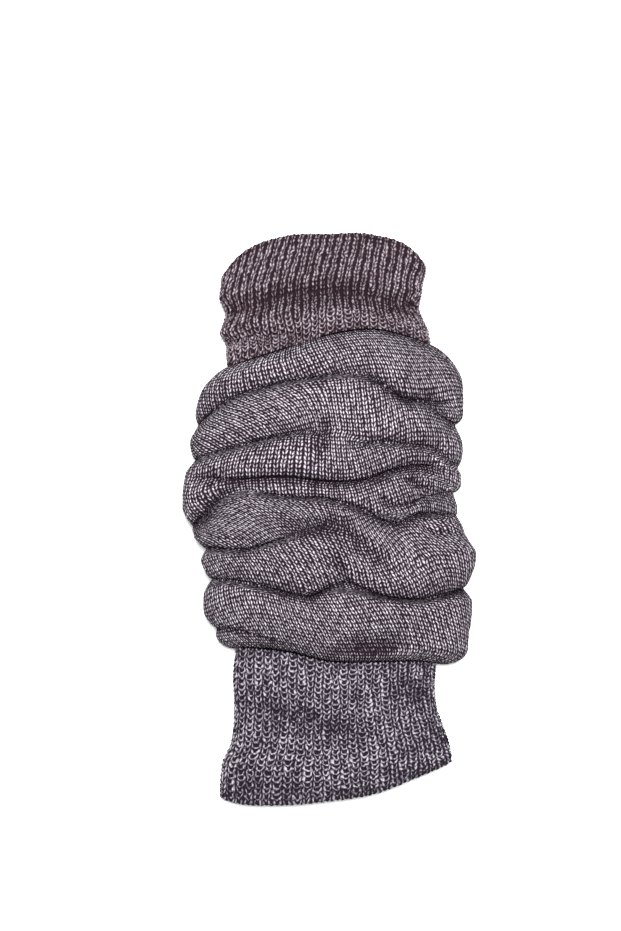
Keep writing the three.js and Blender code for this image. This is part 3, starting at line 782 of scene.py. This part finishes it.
def painted_shade_at(stretch, depth, walked, length):
    """How much shade is painted into the colour of the yarn: a smooth step of the crease depth, and at each
    end a bell of the distance from it."""
    at_low, at_high = (np.exp(-(gone / END_SHADE_REACH)**2) for gone in (walked, length - walked))
    low_end, high_end = stretch["ends"]
    return smooth(depth / stretch["dark_at"]) + at_low * low_end + at_high * high_end


def rim_rows(outer, inner, before, bulge):
    """The rows that close an end: from the outer edge to the inner one on half a circle about the
    middle of the wall, which bulges off the end by that share of half the wall."""
    middle, reach = (outer + inner) / 2, (outer - inner) / 2
    off_end = outer - before
    off_end /= np.linalg.norm(off_end, axis=-1, keepdims=True)
    half = np.linalg.norm(reach, axis=-1, keepdims=True)
    angles = np.pi * np.arange(1, RIM_ROWS + 1) / (RIM_ROWS + 1)
    return np.stack([middle + reach * np.cos(a) + off_end * half * bulge * np.sin(a) for a in angles])


def scallop_along(stretch, u, v):
    """How far a point moves along the tube for the scallop of a free rim: a cosine with two waves
    to a column, times a bell of the rows from that rim."""
    low_rim, high_rim = stretch["rims"]
    far = stretch["courses"]  # in rows, which stands for an end that is no rim
    from_top = np.abs(v - stretch["courses"]) * high_rim + far * (1 - high_rim)
    from_bottom = np.abs(v) * low_rim + far * (1 - low_rim)
    return SCALLOP * np.cos(4 * np.pi * u) * (np.exp(-from_top**2) - np.exp(-from_bottom**2))


print("scallop of the lower rim:", scallop_along(LOWER_CUFF, np.linspace(0, 0.5, 5), np.zeros(5)).round(2))

# %% Knit a wall
LOOK_BACK = 3  # the way off an end is measured from this many rows before it


def knit(stretch, seed):
    """The whole wall of a stretch as one grid of points, that runs up the outer skin, over the end,
    down the inner skin and back. Returns it with the row of stitches v, what is marked on each
    point, and the cloth's flat size."""
    u, v, turn, share, length = lay_out(stretch, seed)
    form, depth = skin(stretch, turn, share)
    openness = stretch["openness"](form[..., 0], share)
    # shade painted into the colour, in creases and at the ends of the stretch
    shade = painted_shade_at(stretch, depth, share * length, length)
    normals = normals_of(form)
    pressed = stretch["relief"] * (1 - stretch["pattern"](u, v, openness))
    outer = form - normals * pressed[..., None]
    outer[..., 2] = np.maximum(outer[..., 2], 0)

    low_rim, high_rim = stretch["rims"]
    picked = np.linspace(stretch["rows"], 0, stretch["inner_rows"] + 1).astype(int)
    inner = (form - normals * stretch["wall"])[picked]
    top = rim_rows(outer[-1], inner[0], outer[-1 - LOOK_BACK], high_rim)
    bottom = rim_rows(outer[0], inner[-1], outer[LOOK_BACK], low_rim)[::-1]
    grid = np.concatenate([outer, top, inner, bottom])
    over = np.linspace(0, 1, RIM_ROWS)[:, None] * np.ones(u.shape[1])
    v_grid = np.concatenate([v, v[-1] + over, v[picked], v[0] - over[::-1]])
    marks = {name: np.concatenate([value, value[-1] + 0 * over, value[picked], value[0] + 0 * over])
             for name, value in (("openness", openness), ("shade", shade))}
    grid[..., 1] += scallop_along(stretch, u[0], v_grid)
    round_length = np.linalg.norm(np.roll(form, -1, axis=1) - form, axis=-1).sum(axis=1).mean()
    return grid * MM, v_grid, marks, (round_length * MM, length * MM)


def tube_object(name, stretch, seed):
    """A mesh from the grid, closed both ways. Each four-sided face runs up a row and then on a
    column, so that it faces out. The UV map "knit" holds the stitch numbers."""
    grid, v, marks, flat = knit(stretch, seed)
    count, columns = grid.shape[:2]
    index = np.arange(count * columns).reshape(count, columns)
    above = np.roll(index, -1, axis=0)
    corners = [index, above, np.roll(above, -1, axis=1), np.roll(index, -1, axis=1)]
    quads = np.stack(corners, -1).reshape(-1, 4)
    mesh = bpy.data.meshes.new(name)
    mesh.from_pydata(grid.reshape(-1, 3), [], quads, shade_flat=False)
    here = np.tile(np.arange(columns) / stretch["across"], (count, 1))
    on = here + 1 / stretch["across"]
    v_above = np.roll(v, -1, axis=0)
    stitch = np.stack([here, v, here, v_above, on, v_above, on, v], -1)
    mesh.uv_layers.new(name="knit").data.foreach_set("uv", stitch.ravel())
    for mark, values in marks.items():
        mesh.attributes.new(mark, "FLOAT", "POINT").data.foreach_set("value", values.ravel())
    obj = bpy.data.objects.new(name, mesh)
    bpy.context.scene.collection.objects.link(obj)
    print(name, "has", len(quads), "faces; flat it is", [round(1000 * side) for side in flat], "mm")
    return obj, flat


# %% [markdown]
# ## Three stretches of one tube
# The real tube is knitted in one go. It is made as three pieces here, because each takes the place
# of its own solid and has its own pattern. Their seeds differ, so that they waver differently.

# %% Knit the cuffs and the leg
lower_cuff, lower_flat = tube_object("lower_cuff_knit", LOWER_CUFF, seed=11)
leg, leg_flat = tube_object("leg_knit", LEG, seed=12)
upper_cuff, upper_flat = tube_object("upper_cuff_knit", UPPER_CUFF, seed=13)

# %% [markdown]
# ## Sums on sockets
# A shader is a net of nodes, but a pattern is easier to read as a sum. This small class wraps a
# socket, so that an operator on it adds a Math node. The same pattern functions that moved the
# vertices can then be called on the stitch numbers in the shader.


# %% Wires
def operator(operation, swapped=False):
    """A method that adds a Math node for two values, swapped for the reflected form."""
    def apply(self, other):
        values = (other, self) if swapped else (self, other)
        return self.finish.node("ShaderNodeMath", {"operation": operation}, dict(enumerate(values)))
    return apply


class Wire:
    """An output socket that can stand in a sum."""
    __add__ = __radd__ = operator("ADD")
    __sub__ = operator("SUBTRACT")
    __rsub__ = operator("SUBTRACT", swapped=True)
    __mul__ = __rmul__ = operator("MULTIPLY")
    __truediv__ = operator("DIVIDE")
    __mod__ = operator("FLOORED_MODULO")

    def __init__(self, finish, socket):
        self.finish, self.socket = finish, socket

    def __abs__(self):
        return self.finish.node("ShaderNodeMath", {"operation": "ABSOLUTE"}, {0: self})

    def floor(self):
        return self.finish.node("ShaderNodeMath", {"operation": "FLOOR"}, {0: self})


print("a wire has:", [name for name, value in vars(Wire).items() if callable(value)])


# %% Finishes
class Finish:
    """A material with its net of nodes."""

    def __init__(self, name):
        self.material = bpy.data.materials.new(name)
        self.material.use_nodes = True
        self.tree = self.material.node_tree
        self.shader = self.tree.nodes["Principled BSDF"]

    def plug(self, socket, value):
        """Put a value into a socket, or link a wire to it."""
        if isinstance(value, Wire):
            self.tree.links.new(value.socket, socket)
        else:
            socket.default_value = value

    def node(self, kind, settings=None, sockets=None, output=0):
        """Add a node, with its settings first and then its sockets, and give one of its outputs.
        A ramp's setting "stops" is a list of (position, colour)."""
        made = self.tree.nodes.new(kind)
        for name, value in (settings or {}).items():
            if name == "stops":
                elements = made.color_ramp.elements
                for place, colour in value[len(elements):]:
                    elements.new(place)
                for element, (place, colour) in zip(elements, value):
                    element.position = place
                    element.color = (*colour, 1)
            else:
                setattr(made, name, value)
        for name, value in (sockets or {}).items():
            self.plug(made.inputs[name], value)
        return Wire(self, made.outputs[output])

    def noise(self, place, scale, detail):
        """Soft noise with so many lumps to a metre, moved to lie evenly about 0."""
        sockets = {"Vector": place, "Scale": scale, "Detail": detail}
        return self.node("ShaderNodeTexNoise", sockets=sockets) - 0.5

    def set(self, **values):
        """Values or wires for the shader's own sockets, by name with _ for a space."""
        for name, value in values.items():
            self.plug(self.shader.inputs[name.replace("_", " ")], value)


print("a finish has:", [name for name, value in vars(Finish).items() if callable(value)])

# %% [markdown]
# ## The finish of the yarn
# The yarn is a heather: fine fibres of several greys and purples, carded together and spun into one yarn.
# Close up, no two stitches are quite alike. So the colour is a ramp from the dark between the yarns to their
# pale backs, read by a tone. The tone is the height of the stitch, which paints shade into the gaps and a
# highlight onto the backs of the yarn, less the painted shade of creases and ends, with three kinds of chance
# added: one number a leg, a fine grain of fibres, and a slow drift over the cloth. Noise also tugs the
# stitches a little out of line. Wool hardly shines, so the roughness is high and the specular level low.

# %% Yarn
# the stitch height in the tone paints shade into the gaps between the yarns and a highlight onto their backs
HEIGHT_AS_PAINTED_SHADE_AND_HIGHLIGHT = 0.85
LEG_CHANCE = 0.3
FIBRE_GRAIN = 1.2
SLOW_DRIFT = 0.08
# how far the shade painted in creases and at the ends darkens the tone
PAINTED_SHADE_IN_TONE = 0.35
FIBRE_RELIEF = 0.6  # how far the fibres stand up, as a share of a stitch's height
CHANCE_EARLY = 0.3  # each leg's chance begins this much of a row before its row does


def yarn_finish(name, pattern, ramp, depth, tug):
    """A knitted finish. pattern gives the height from (u, v, openness), ramp the colours from deep
    to high, depth how far the bump reaches, in millimetres, and tug how far the stitches are
    pulled out of line, as a share of a stitch."""
    finish = Finish(name)
    place = finish.node("ShaderNodeTexCoord", output=3)  # object coordinates
    stitch = finish.node("ShaderNodeUVMap", {"uv_map": "knit"})
    u = finish.node("ShaderNodeSeparateXYZ", sockets={0: stitch}, output=0)
    v = finish.node("ShaderNodeSeparateXYZ", sockets={0: stitch}, output=1)
    openness = finish.node("ShaderNodeAttribute", {"attribute_name": "openness"}, output=2)
    # the shade painted into the colour in creases and at the ends of a stretch
    shade = finish.node("ShaderNodeAttribute", {"attribute_name": "shade"}, output=2)
    tug_u = finish.noise(place, scale=330.0, detail=1.0)
    tug_v = finish.noise(place, scale=290.0, detail=1.0)
    height = pattern(u + tug_u * tug, v + tug_v * tug, openness)

    leg_counts = {0: (u * 2).floor(), 1: (v + CHANCE_EARLY).floor()}
    leg_number = finish.node("ShaderNodeCombineXYZ", sockets=leg_counts)
    chance = finish.node("ShaderNodeTexWhiteNoise", {"noise_dimensions": "2D"}, {"Vector": leg_number})
    fibres = finish.noise(place, scale=950.0, detail=3.0)
    drift = finish.noise(place, scale=28.0, detail=2.0)
    # the tone paints shade: in the gaps from the stitch height, and in creases and at the ends from the
    # painted shade mark; the pale backs of the yarn are a painted highlight
    tone = (height * HEIGHT_AS_PAINTED_SHADE_AND_HIGHLIGHT + (chance - 0.5) * LEG_CHANCE + fibres * FIBRE_GRAIN
            + drift * SLOW_DRIFT - shade * PAINTED_SHADE_IN_TONE)
    colour = finish.node("ShaderNodeValToRGB", {"stops": ramp}, {0: tone})
    bump = finish.node("ShaderNodeBump", sockets={
        "Height": height + fibres * FIBRE_RELIEF, "Distance": depth * MM, "Strength": 1.0})
    finish.set(Base_Color=colour, Roughness=0.9, Normal=bump, Specular_IOR_Level=0.1)
    return finish.material


RAMP_STOPS = (0.15, 0.38, 0.62, 0.95)  # tones of the gap between yarns, its edge, the yarn and its back
JERSEY_COLOURS = ((0.008, 0.003, 0.007), (0.048, 0.036, 0.048), (0.195, 0.172, 0.198), (0.475, 0.44, 0.48))
# Both cuffs are one yarn: the upper cuff's darker, warmer colours and the lower cuff's bluer darks are
# painted shade, the tint of the shade on each end.
UPPER_SHADED_COLOURS = ((0.010, 0.004, 0.007), (0.041, 0.025, 0.032), (0.107, 0.087, 0.101), (0.275, 0.244, 0.269))
LOWER_COLOURS = ((0.007, 0.004, 0.008), (0.034, 0.028, 0.038), (0.11, 0.099, 0.117), (0.31, 0.286, 0.32))
for piece, name, pattern, colours, depth, tug in (
        (leg, "jersey_knit", jersey, JERSEY_COLOURS, 0.7, 0.3),
        (lower_cuff, "open_rib_knit", rib, LOWER_COLOURS, 0.5, 0.7),
        (upper_cuff, "closed_rib_knit", rib, UPPER_SHADED_COLOURS, 0.5, 0.5)):
    piece.data.materials.append(yarn_finish(name, pattern, list(zip(RAMP_STOPS, colours)), depth, tug))
    print(piece.name, "is finished as", name)

# %% [markdown]
# ## What each piece stands for
# All three ride on the one rigid body, and each hides its solid.

for piece, node, slot, flat, held in (
        (lower_cuff, "lower_cuff", "rib_knit", lower_flat, "laid"),
        (leg, "leg_body", "jersey_knit", leg_flat, "gathered"),
        (upper_cuff, "upper_cuff", "rib_knit", upper_flat, "laid")):
    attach(piece, "root")
    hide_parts(node)
    print(piece.name, "stands for", node)
